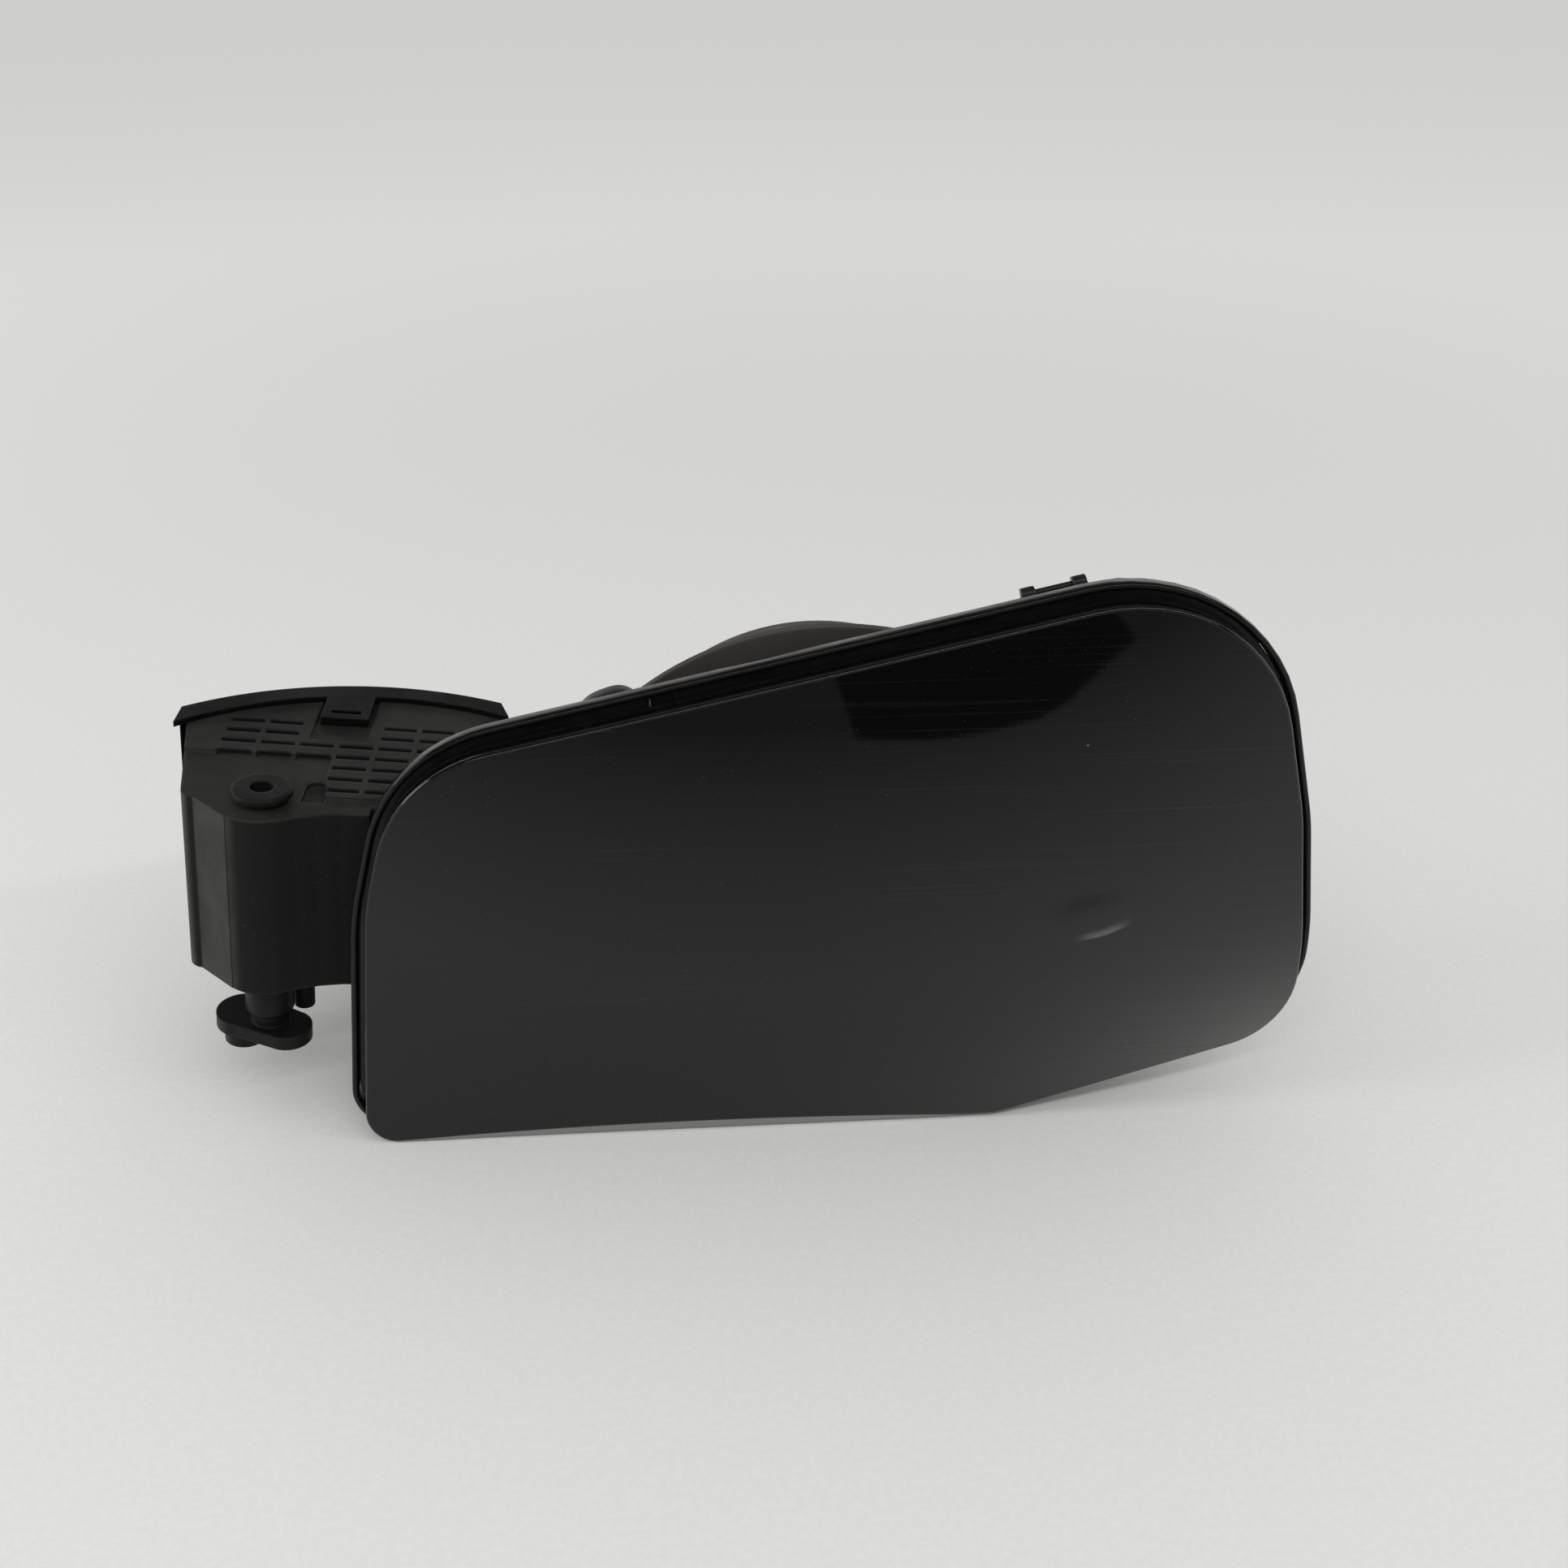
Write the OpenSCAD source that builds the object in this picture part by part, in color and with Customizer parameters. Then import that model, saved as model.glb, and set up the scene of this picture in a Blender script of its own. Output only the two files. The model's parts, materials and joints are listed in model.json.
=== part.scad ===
// Car fuel door with its housing: a painted door on a gooseneck hinge, a flanged pot
// with a soft edge seal, a ribbed hinge pocket and a locking bolt.
// Origin on the filler neck axis at the back of the pot. +X to the right along the door,
// +Y from the door's face to the back, +Z up.

/* [Door outline] */
// From the neck axis to the door's lower left corner
door_left = 110.4; // [104:0.2:118]
// From the neck axis to the door's right side
door_right = 101.9; // [96:0.2:108]
// From the neck axis down to the door's lower edge
door_below = 50.4; // [46:0.2:56]
// From the neck axis up to the door's top edge
door_above = 64.2; // [60:0.2:70]
// Slope of the top edge in degrees
top_slope = 12.6; // [9:0.1:15]
// Lean of the left edge and of the hinge in degrees
left_lean = 6.3; // [3:0.1:9]
// Where the lower edge starts to rise
rise_start = 34.3; // [20:0.1:45]
// Slope of the rising stretch in degrees
rise_angle = 17.2; // [12:0.1:21]
// Corner radius at the lower left
foot_r = 9; // [7:0.5:14]
// Corner radius at the lower right
toe_r = 19; // [12:0.5:24]
// Corner radius at the top right
peak_r = 37; // [28:0.5:42]
// Corner radius at the top left
shoulder_r = 33; // [24:0.5:42]

/* [Door] */
// Wall of the outer skin
skin_t = 2; // [1.6:0.1:2.6]
// Rounding of the skin's front edge
edge_r = 1; // [0.6:0.1:2]
// Depth of the skin's returned edge
door_deep = 5.5; // [5:0.1:7]
// Plate of the inner panel
panel_t = 1.8; // [1.2:0.1:2.4]
// Width of the shallow dent
dent_w = 14; // [8:0.5:20]
// Depth of the shallow dent
dent_deep = 0.6; // [0.2:0.1:1]

/* [Housing] */
// From the back of the door's edge to the flange
flange_gap = 2.5; // [2:0.1:4]
// Thickness of the flange
flange_t = 2; // [1.6:0.1:3]
// How far the flange stands out past the door
flange_margin = 2.2; // [1.5:0.1:3]
// How much less it stands out along the top
top_less = 1; // [0:0.1:1.4]
// Width of the seal round the flange
seal_w = 1.6; // [1.2:0.1:2.4]
// How far the seal stands in front of the flange
seal_lip = 1.5; // [0.8:0.1:1.7]
// How far the seal reaches below the door
seal_drop = 1; // [0.6:0.1:1.6]
// Depth of the tray behind the flange
tray_deep = 9; // [8:0.5:12]
// Wall of the housing
wall = 2; // [1.6:0.1:2.6]
// Radius of the bowl where it leaves the tray
bowl_r = 63; // [58:0.5:64]
// Radius of the bowl at its back
bowl_back_r = 50; // [46:0.5:54]
// From the door's face to the back of the bowl
neck_deep = 62; // [56:0.5:72]
// Radius of the opening for the filler neck
neck_r = 30; // [24:0.5:32]

/* [Hinge] */
// From the door's left edge to the hinge axis
hinge_offset = 24.2; // [24:0.1:28]
// From the door's face back to the hinge axis
hinge_deep = 20; // [18.5:0.1:22]
// Radius of the hinge pin
pin_r = 2.5; // [2:0.1:3]
// Radius of the gooseneck's bend
goose_r = 25; // [24:0.5:27]
// Top of the pocket above the middle of the hinge
pocket_top = 27; // [24:0.5:30]
// Underside of the pocket below the middle of the hinge
pocket_low = 17; // [15:0.5:20]
// How far the two end bosses stand out of the pocket
boss_out = 3; // [2:0.5:4]
// Length of the lower boss
lower_boss = 10.5; // [8:0.5:12]

/* [Lock] */
// Radius of the locking bolt
bolt_r = 3.5; // [3:0.1:4]
// Travel of the locking bolt
bolt_travel = 8; // [7:0.5:10]

/* [Hidden] */
$fn = 48;

clear = 0.3;          // between pieces that only lie beside each other
run_fit = 0.05;       // radial clearance of the pin and the bolt
eps = 0.01;

// Straight stretches of the door's outline: each is a corner and its radius.
side_rise = 23.5;     // upright stretch of the right side
side_mid = 32.3;      // middle stretch of the right side
side_lean = [1.7, 8.3, 14.3];
cheek_rise = 61.9;    // lower stretch of the left side
cheek_lean = 15.7;    // lean of its upper stretch
bend_r = 80;          // soft bends of the two sides
kink_r = 15;
left_x = -door_left;
toe = [door_right, -door_below + (door_right - rise_start) * tan(rise_angle)];
knee = toe + side_rise * [-sin(side_lean[0]), cos(side_lean[0])];
hip = knee + side_mid * [-sin(side_lean[1]), cos(side_lean[1])];
peak = cross_at([0, door_above], top_slope, hip, 90 + side_lean[2]);
cheek = [left_x, -door_below] + cheek_rise * [sin(left_lean), cos(left_lean)];
shoulder = cross_at([0, door_above], top_slope, cheek, 90 - cheek_lean);
corners = [[left_x, -door_below], [rise_start, -door_below], toe, knee, hip, peak, shoulder, cheek];
radii = [foot_r, kink_r, toe_r, bend_r, bend_r, peak_r, shoulder_r, bend_r];
arc_steps = 9;

// Depths behind the door's face.
panel_back = skin_t + panel_t;
flange_front = door_deep + flange_gap;
flange_back = flange_front + flange_t;
tray_back = flange_back + tray_deep;
tray_margin = flange_margin - 1.6;
tray_high = tray_margin - 2.1;
tray_tuck = 4;        // how much tighter the tray's top right corner is
tray_floor = tray_back - wall;
flange_lift = seal_w - seal_drop;
body_sheet = 2.2;     // room between the flange and the clips for the body's sheet
tray_lift = flange_lift + 1.3;
floor_z = -door_below - seal_drop;

// The hinge axis, leaning like the door's left edge.
axis_z = 2;
axis_x = left_x + (axis_z + door_below) * tan(left_lean) - hinge_offset;
barrel_r = 6;
arm_low = -pocket_low + wall + 2;
arm_top = pocket_top - 2.5 - 3.3;
goose_at = [17.5, 18];
goose_t = 3.4;
goose_edge = 6;
arm_reach = goose_at[0] + goose_r;
plate_long = 34;
plate_t = 2.5;

// The pocket's plan, seen along the hinge axis.
bulge_r = 10.2;
front_y = -4.3;
pocket_side = 17.5;
pocket_side_back = 25.5;
pocket_right = arm_reach + goose_edge + 7.5;
pocket_turn = 22;
pocket_end = 45;
pocket_back = 55.5;
back_r = 70;
back_mid = 21.5;
lip_w = 5.7;
tray_side = hinge_offset * cos(left_lean) - tray_margin;
floor_y = tray_back - hinge_deep;
skin_back = door_deep - hinge_deep;
rib_pad = 0.8;
rib_pitch = [8.7, 5.2];
rib_slot = [7.6, 1.9, 1.6];
platform = [-26, 11.7, 20];
tab_x = [6, 17];
tab_y = [37, 54];

// The bowl's wide end, a little off the neck's axis, and its ring behind the tray.
bowl_at = [-3.9, -1];
ring_r = bowl_r + 3.4;
stop_ring = ring_r + 7;
stop_at = [for (a = [43, 154, -13]) bowl_at + stop_ring * [cos(a), sin(a)]];
stop_hole = 3;
cap_at = [10, 0];
cap_r = 19;
dent_at = [52.2, 3.4];
drain_r = 43;
drain_at = drain_r * [cos(110), -sin(110)];

// The lock, on the right of the tray.
lock_w = 24;
lock_x = bowl_at[0] + ring_r + lock_w / 2 + 7.5;
lock_z = 0;
lock_deep = tray_back + 6.5;
tongue = [14, 4];
tongue_end = 8;
eye = 9;
lock_h = 40;
bolt_len = 28;
bolt_tip = lock_z - tongue[1] / 2 - 1.5 + bolt_travel;
lock_low = bolt_tip + 0.5;
ear_h = 8;

// Where two lines cross: each has a point and a direction in degrees.
function cross_at(p, a, q, b) =
    let (d = [cos(a), sin(a)], e = [cos(b), sin(b)], w = q - p)
    p + d * (w[0] * e[1] - w[1] * e[0]) / (d[0] * e[1] - d[1] * e[0]);

function unit(v) = v / norm(v);

// A corner after its two edges have moved out by a and b.
function moved(p, q, r, a, b) =
    let (d = unit(q - p), e = unit(r - q), k = d[0] * e[1] - d[1] * e[0])
    q + (b * d - a * e) / k;

// The corners of the outline with its edges moved out: low is for the lower edges, high for the top ones.
function grown(g, low, high) =
    let (n = len(corners), out = [low, low, g, g, (g + high) / 2, high, high, g])
    [for (i = [0:n - 1])
        moved(corners[(i + n - 1) % n], corners[i], corners[(i + 1) % n], out[(i + n - 1) % n], out[i])];

// A polygon with its corners rounded by arcs.
function rounded(p, r) =
    let (n = len(p))
    [for (i = [0:n - 1])
        let (d = unit(p[i] - p[(i + n - 1) % n]), e = unit(p[(i + 1) % n] - p[i]), turn = acos(min(1, d * e)),
             centre = p[i] - r[i] * tan(turn / 2) * d + r[i] * [-d[1], d[0]], start = atan2(-d[0], d[1]))
        for (k = [0:arc_steps])
            centre + r[i] * [cos(start + turn * k / arc_steps), sin(start + turn * k / arc_steps)]];

// The door's outline with its edges moved out, and its top right corner tighter by tuck.
module outline(g, low, high, tuck = 0) {
    polygon(rounded(grown(g, low, high),
                    [for (i = [0:len(radii) - 1]) radii[i] + g - (corners[i] == peak ? tuck : 0)]));
}

// The door's outline with all its edges moved out alike.
module even_outline(g) {
    outline(g, g, g);
}

// The tray's outline with its walls moved in.
module tray_outline(inset) {
    outline(tray_margin - inset, -tray_lift - inset, tray_high - inset, tray_tuck);
}

// A plate of the child shape between two depths behind the door's face.
module slab(from, to) {
    translate([0, to, 0])
        rotate([90, 0, 0])
            linear_extrude(to - from)
                children();
}

// A round bar along Y between two depths.
module rod(from, to, r, r_to = -1) {
    translate([0, from, 0])
        rotate([-90, 0, 0])
            cylinder(h = to - from, r1 = r, r2 = r_to < 0 ? r : r_to);
}

// Sets the row's frame: depths are counted from the door's face.
module placed() {
    translate([0, -neck_deep, 0])
        children();
}

// The hinge's own frame: Z runs up the pin, X to the right and Y to the back.
module at_hinge() {
    placed()
        translate([axis_x, hinge_deep, axis_z])
            rotate([0, left_lean, 0])
                children();
}

// An upright extrusion in the hinge's frame.
module upright(low, top) {
    translate([0, 0, low])
        linear_extrude(top - low)
            children();
}

// Door

module door_skin() {
    dent_ball = (dent_w * dent_w / 4 + dent_deep * dent_deep) / (2 * dent_deep);
    color([0.03, 0.03, 0.035])
    placed()
    difference() {
        hull() {
            slab(edge_r, door_deep) even_outline(0);
            slab(edge_r * 0.5, edge_r) even_outline(-edge_r * 0.134);
            slab(edge_r * 0.134, edge_r) even_outline(-edge_r * 0.5);
            slab(0, edge_r) even_outline(-edge_r);
        }
        slab(skin_t, door_deep + 1) even_outline(-skin_t);
        translate([dent_at[0], dent_deep - dent_ball, dent_at[1]])
            sphere(dent_ball, $fn = 96);
    }
}

module inner_panel() {
    inset = skin_t + 0.2;
    rim = 1.8;
    lock_pad = [20, 18];
    color([0.07, 0.07, 0.07])
    placed()
    difference() {
        union() {
            slab(skin_t, panel_back) even_outline(-inset);
            difference() {
                slab(panel_back - eps, door_deep) even_outline(-inset);
                slab(panel_back - 1, door_deep + 1) even_outline(-inset - rim);
            }
            intersection() {
                slab(panel_back - eps, door_deep - 0.4) even_outline(-inset - 1);
                panel_ribs();
            }
            translate([axis_x, 0, axis_z])
                rotate([0, left_lean, 0])
                    translate([arm_reach - 4, panel_back - eps, arm_low - 2])
                        cube([plate_long + 8, door_deep - panel_back + eps, arm_top - arm_low + 4]);
            translate([lock_x - lock_pad[0] / 2, panel_back - eps, lock_z - lock_pad[1] / 2])
                cube([lock_pad[0], door_deep - panel_back + eps, lock_pad[1]]);
            for (p = stop_at)
                translate([p[0], 0, p[1]])
                    rod(panel_back - eps, door_deep, 6);
            translate([cap_at[0], 0, cap_at[1]])
                rod(panel_back - eps, door_deep, cap_r + 2);
        }
        translate([cap_at[0], 0, cap_at[1]])
            rod(panel_back, door_deep + 1, 12);
    }
}

// The panel's grid of ribs, wider than the door on all sides.
module panel_ribs() {
    rib_w = 1.4;
    step = [25, 22];
    for (i = [-4:4])
        translate([i * step[0], 0, -100])
            cube([rib_w, door_deep, 200]);
    for (i = [-2:4])
        translate([-130, 0, i * step[1]])
            cube([260, door_deep, rib_w]);
}

module hinge_arm() {
    mid = (arm_low + arm_top) / 2;
    plate_y = skin_back;
    color([0.09, 0.09, 0.09])
    at_hinge()
    difference() {
        union() {
            translate([0, 0, arm_low])
                cylinder(h = arm_top - arm_low, r = barrel_r);
            upright(arm_low, arm_top) goose(goose_t);
            upright(arm_low, arm_low + 2.4) goose(goose_edge);
            upright(arm_top - 2.4, arm_top) goose(goose_edge);
            translate([arm_reach - goose_t / 2, plate_y, arm_low])
                cube([plate_long, plate_t, arm_top - arm_low]);
            for (z = [arm_low + 1, mid - 1, arm_top - 3])
                upright(z, z + 2)
                    polygon([[arm_reach, plate_y], [arm_reach + 14, plate_y], [arm_reach + 14, plate_y + 3],
                             [arm_reach, plate_y + 14]]);
        }
        translate([0, 0, arm_low - 1])
            cylinder(h = arm_top - arm_low + 2, r = pin_r + run_fit);
        for (p = screw_spots())
            translate([p[0], 0, p[1]])
                rod(plate_y - 1, plate_y + plate_t + 1, 2.2);
    }
}

function screw_spots() =
    let (mid = (arm_low + arm_top) / 2, half = (arm_top - arm_low) / 2 - 6)
    [[arm_reach + 20, mid - half], [arm_reach + 20, mid + half], [arm_reach + 27, mid]];

// The gooseneck's plan: a bend from the barrel to above the plate, and a straight leg.
module goose(thick) {
    translate(goose_at) {
        intersection() {
            difference() {
                circle(goose_r + thick / 2);
                circle(goose_r - thick / 2);
            }
            polygon([[0, 0], [60, 0], [60, 60], [-60, 60], [-60, -42]]);
        }
        translate([goose_r - thick / 2, skin_back + 1 - goose_at[1]])
            square([thick, goose_at[1] - skin_back - 1]);
    }
}

module arm_screws() {
    color([0.35, 0.35, 0.37])
    at_hinge()
        for (p = screw_spots())
            translate([p[0], 0, p[1]])
                difference() {
                    union() {
                        rod(skin_back + 0.1, skin_back + plate_t, 2.1);
                        rod(skin_back + plate_t, skin_back + plate_t + 2.2, 4.2);
                    }
                    translate([-0.5, skin_back + plate_t + 1.2, -3])
                        cube([1, 3, 6]);
                    translate([-3, skin_back + plate_t + 1.2, -0.5])
                        cube([6, 3, 1]);
                }
}

// The tongue that the bolt holds, with a square eye and two gussets.
module striker() {
    foot = [18, 14];
    gusset = 2;
    color([0.08, 0.08, 0.08])
    placed()
    translate([lock_x, 0, lock_z])
    difference() {
        union() {
            translate([-foot[0] / 2, door_deep, -foot[1] / 2])
                cube([foot[0], 2, foot[1]]);
            translate([-tongue[0] / 2, door_deep, -tongue[1] / 2])
                cube([tongue[0], lock_deep + tongue_end - door_deep, tongue[1]]);
            for (x = [-tongue[0] / 2, tongue[0] / 2 - gusset])
                translate([x, 0, 0])
                    rotate([90, 0, 90])
                        linear_extrude(gusset)
                            polygon([[door_deep, -6.5], [door_deep, 6.5], [door_deep + 7, tongue[1] / 2],
                                     [door_deep + 7, -tongue[1] / 2]]);
        }
        translate([-eye / 2, lock_deep - eye / 2, -tongue[1]])
            cube([eye, eye, 2 * tongue[1]]);
    }
}

// The cup that parks the tank's cap, open on its left.
module cap_holder() {
    cup = 8;
    cup_w = 2.4;
    floor_t = 1.6;
    color([0.08, 0.08, 0.08])
    placed()
    translate([cap_at[0], 0, cap_at[1]])
    difference() {
        rod(door_deep, door_deep + cup, cap_r);
        rod(door_deep + floor_t, door_deep + cup - floor_t, cap_r - cup_w);
        rod(door_deep + floor_t, door_deep + cup + 1, cap_r - 4.5);
        translate([-cap_r - 6, door_deep + floor_t, -cap_r - 6])
            cube([cap_r + 1, 10, 2 * cap_r + 12]);
        rod(door_deep - 1, door_deep + 3, 8);
    }
}

// Housing

module pot_housing() {
    color([0.10, 0.10, 0.10])
    placed()
    difference() {
        union() {
            slab(flange_front, flange_back) outline(flange_margin, -flange_lift, flange_margin - top_less);
            slab(flange_back - eps, tray_back) tray_outline(0);
            bottom_ribs(flange_back, tray_back, [-78, -22, 22], 1);
            for (p = stop_at)
                translate([p[0], 0, p[1]])
                    rod(tray_floor - 2, tray_back + 1, 6);
        }
        difference() {
            slab(flange_front - 1, tray_floor) tray_outline(wall);
            for (p = stop_at)
                translate([p[0], 0, p[1]])
                    rod(flange_front - 2, tray_back + 1, 6);
            for (p = lock_screw_at)
                translate([p[0], 0, p[1]])
                    rod(tray_floor - 4, tray_back, 3.6);
        }
        for (p = stop_at)
            translate([p[0], 0, p[1]]) {
                rod(flange_front - 2, tray_floor - 2, 7);
                rod(flange_front, tray_back + 2, stop_hole);
            }
        intersection() {
            bowl_form(tray_floor - 0.5, tray_back + 1, wall + clear);
            slab(tray_floor - 1, tray_back + 2) tray_outline(wall + clear);
        }
        translate([axis_x, hinge_deep, axis_z])
            rotate([0, left_lean, 0])
                translate([tray_side + wall, floor_y - wall - 1, arm_low - 2])
                    cube([pocket_right - wall - tray_side - wall, wall + 2, arm_top - arm_low + 4]);
        translate([lock_x - tongue[0] / 2 - 1.5, tray_floor - 1, lock_z - tongue[1] / 2 - 1.5])
            cube([tongue[0] + 3, wall + 2, tongue[1] + 3]);
        for (p = lock_screw_at)
            translate([p[0], 0, p[1]])
                rod(tray_floor - 3, tray_back + 1, 1.6);
    }
}

// Ribs under the housing that stiffen the flange and reach the level of the seal.
module bottom_ribs(from, to, places, root) {
    for (x = places)
        translate([x, from - eps, floor_z])
            cube([1.8, to - from + eps, tray_lift + seal_drop + root]);
}

// The bowl's body: a cone from its wide end to the round back, cut flat along the bottom.
module bowl_form(from, to, inset) {
    intersection() {
        translate([bowl_at[0], 0, bowl_at[1]])
            rod(from, to, bowl_width(from) - inset, bowl_width(to) - inset);
        above_floor(from - 1, to + 1, inset);
    }
}

// The bowl's outer radius at a depth.
function bowl_width(deep) = bowl_r - (deep - tray_back) * (bowl_r - bowl_back_r) / (neck_deep - tray_back);

// Everything above the tray's underside, moved up by inset.
module above_floor(from, to, inset) {
    translate([-150, from, -door_below + tray_lift + inset])
        cube([300, to - from, 200]);
}

module edge_seal() {
    front = flange_front - seal_lip;
    soft_r = seal_w * 0.45;
    color([0.05, 0.05, 0.05])
    placed()
    difference() {
        hull()
            for (a = [0:30:90])
                slab(front + soft_r * (1 - sin(a)), flange_back)
                    seal_outline(soft_r * (1 - cos(a)));
        slab(front - 1, flange_back + 1) outline(flange_margin, -flange_lift, flange_margin - top_less);
    }
}

// The seal's outer side, moved in by inset.
module seal_outline(inset) {
    outer = flange_margin + seal_w;
    outline(outer - inset, seal_drop - inset, outer - top_less - inset);
}

module filler_bowl() {
    floor_t = 2.4;
    color([0.20, 0.19, 0.18])
    placed()
    difference() {
        union() {
            bowl_form(tray_back, neck_deep, 0);
            intersection() {
                above_floor(tray_back, tray_back + wall, 0);
                translate([bowl_at[0], 0, bowl_at[1]])
                    rod(tray_back, tray_back + wall, ring_r);
            }
            bottom_ribs(tray_back, neck_deep - 3, [-22, 22], 8);
        }
        bowl_form(tray_back - 1, neck_deep - floor_t, wall);
        rod(neck_deep - floor_t - 1, neck_deep + 1, neck_r + 4);
        translate([drain_at[0], 0, drain_at[1]])
            rod(neck_deep - floor_t - 1, neck_deep + 1, 3.2);
    }
}

module neck_collar() {
    groove = neck_r + 4;
    color([0.07, 0.07, 0.07])
    placed()
    translate([0, neck_deep, 0])
        rotate([-90, 0, 0])
            rotate_extrude()
                polygon([[neck_r, -6], [neck_r + 1.4, -7], [groove + 4, -5], [groove + 4, -2.4], [groove, -2.4],
                         [groove, 0], [groove + 4, 0], [groove + 4, 2.6], [groove - 1, 3.4], [neck_r + 2, 9],
                         [neck_r, 9]]);
}

// Hinge

// The pocket's plan, drawn d inside its outer face.
module pocket_plan(d) {
    union() {
        circle(bulge_r - d);
        polygon([[-bulge_r * 0.62 + d * 0.4, -bulge_r * 0.8 + d], [0, 0], [4.4, -9.2 + d], [8, -7.3 + d],
                 [12, -5.8 + d], [17, -4.7 + d],
                 [tray_side - clear, front_y + d], [tray_side - clear, floor_y + d * 0.5],
                 [pocket_right - d, floor_y + d * 0.5], [pocket_right - d, pocket_turn],
                 [pocket_end - d, pocket_back + 1], [-pocket_side_back + d, pocket_back + 1],
                 [-pocket_side_back + d, 44], [-pocket_side + d, 2]]);
        translate([-pocket_side + 3.4, 2.6])
            circle(3.4 - min(d, 3));
    }
}

module hinge_pocket() {
    lug_at = [7, 4.2];
    lug_long = 12;
    color([0.10, 0.10, 0.10])
    at_hinge()
    difference() {
        union() {
            upright(-pocket_low, pocket_top) pocket_body();
            rib_block();
            translate([lug_at[0], lug_at[1], -pocket_low - lug_long])
                cylinder(h = lug_long + 1, r = 2.3);
        }
        upright(-pocket_low + wall, pocket_top - 2.5) pocket_plan(wall);
        translate([tray_side + wall, floor_y - 3, -pocket_low + wall])
            cube([pocket_right - 2 * wall - tray_side, 6, pocket_top - 2.5 + pocket_low - wall]);
        rib_slots();
        translate([tab_x[0] - 1, tab_y[0] - 9, pocket_top])
            cube([tab_x[1] - tab_x[0] + 2, 40, rib_pad + 1]);
        translate([10.5, 6.5, pocket_top - 1.2])
            cylinder(h = 5, r = 2.4);
        translate([8.1, -0.5, pocket_top - 1.2])
            cube([4.8, 7, 5]);
        translate([0, 0, -pocket_low - 1])
            cylinder(h = pocket_low + pocket_top + 3, r = 4.2);
    }
}

// The plan inside the arc of the rear cover.
module pocket_body() {
    intersection() {
        pocket_plan(0);
        back_arc(back_r - wall);
    }
}

module back_arc(r) {
    translate([back_mid, pocket_back - back_r])
        circle(r, $fn = 180);
}

// The raised block that holds the moulded slots.
module rib_block() {
    upright(pocket_top - eps, pocket_top + rib_pad)
        difference() {
            pocket_body();
            translate([platform[0], -30])
                square([platform[1] - platform[0], platform[2] + 30]);
            translate([-60, -30])
                square([200, 31.6]);
        }
}

module rib_slots() {
    for (i = [-3:5])
        for (j = [0:6]) {
            x = -5.7 + 0.5 + i * rib_pitch[0];
            y = 3.5 + j * rib_pitch[1];
            on_platform = x < platform[1] - 2 && y < platform[2] - 1;
            under_tab = x + rib_slot[0] > tab_x[0] - 1 && x < tab_x[1] + 1 && y > tab_y[0] - 10;
            off_side = x < -pocket_side - (y - 2) * 0.15 + 1 || x + rib_slot[0] > pocket_right - 1;
            if (!on_platform && !under_tab && !off_side)
                translate([x, y, pocket_top + rib_pad - rib_slot[2]])
                    cube([rib_slot[0], rib_slot[1], 3]);
        }
}

// The curved cover that closes the pocket's back, with its snap tab over the top.
module pocket_rear_cover() {
    rim_top = pocket_top + rib_pad + 1.4;
    color([0.10, 0.10, 0.10])
    at_hinge()
    difference() {
        union() {
            upright(-pocket_low, rim_top) cover_band(wall);
            upright(rim_top - 1.4, rim_top) cover_band(lip_w);
            translate([tab_x[0], tab_y[0], rim_top - 1.4])
                cube([tab_x[1] - tab_x[0], pocket_back - wall - tab_y[0], 1.4]);
            translate([tab_x[0], tab_y[0], pocket_top + 0.2])
                cube([tab_x[1] - tab_x[0], 1.6, rib_pad + 1]);
        }
        translate([tab_x[0] + 2, tab_y[0] + 2.2, pocket_top])
            cube([tab_x[1] - tab_x[0] - 4, 1.8, 5]);
    }
}

module cover_band(thick) {
    intersection() {
        difference() {
            back_arc(back_r);
            back_arc(back_r - thick);
        }
        polygon([[-pocket_side_back, 10], [pocket_right, 10], [pocket_right, pocket_turn],
                 [pocket_end, pocket_back + 1], [-pocket_side_back, pocket_back + 1]]);
    }
}

module hinge_pin() {
    color([0.55, 0.55, 0.57])
    at_hinge()
        translate([0, 0, -pocket_low - lower_boss - 4.5])
            cylinder(h = pocket_top + pocket_low + lower_boss + 4.5, r = pin_r);
}

module upper_bush() {
    color([0.11, 0.11, 0.11])
    at_hinge()
        rotate_extrude()
            polygon([[pin_r + run_fit, arm_top + 0.2], [barrel_r - 0.5, arm_top + 0.2], [barrel_r - 0.5, pocket_top - 2.5],
                     [4.15, pocket_top - 2.5], [4.15, pocket_top], [5.3, pocket_top],
                     [5.3, pocket_top + 1.2], [6.4, pocket_top + 1.4], [6.4, pocket_top + boss_out - 0.4],
                     [6, pocket_top + boss_out], [pin_r + 0.1, pocket_top + boss_out]]);
}

module lower_bush() {
    low = -pocket_low;
    color([0.16, 0.16, 0.16])
    at_hinge()
        rotate_extrude()
            polygon([[pin_r + run_fit, arm_low - 0.2], [barrel_r - 0.5, arm_low - 0.2], [barrel_r - 0.5, low + wall],
                     [4.15, low + wall], [4.15, low], [5.6, low], [5.4, low - lower_boss + 0.8],
                     [4.8, low - lower_boss], [pin_r + run_fit, low - lower_boss]]);
}

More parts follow.
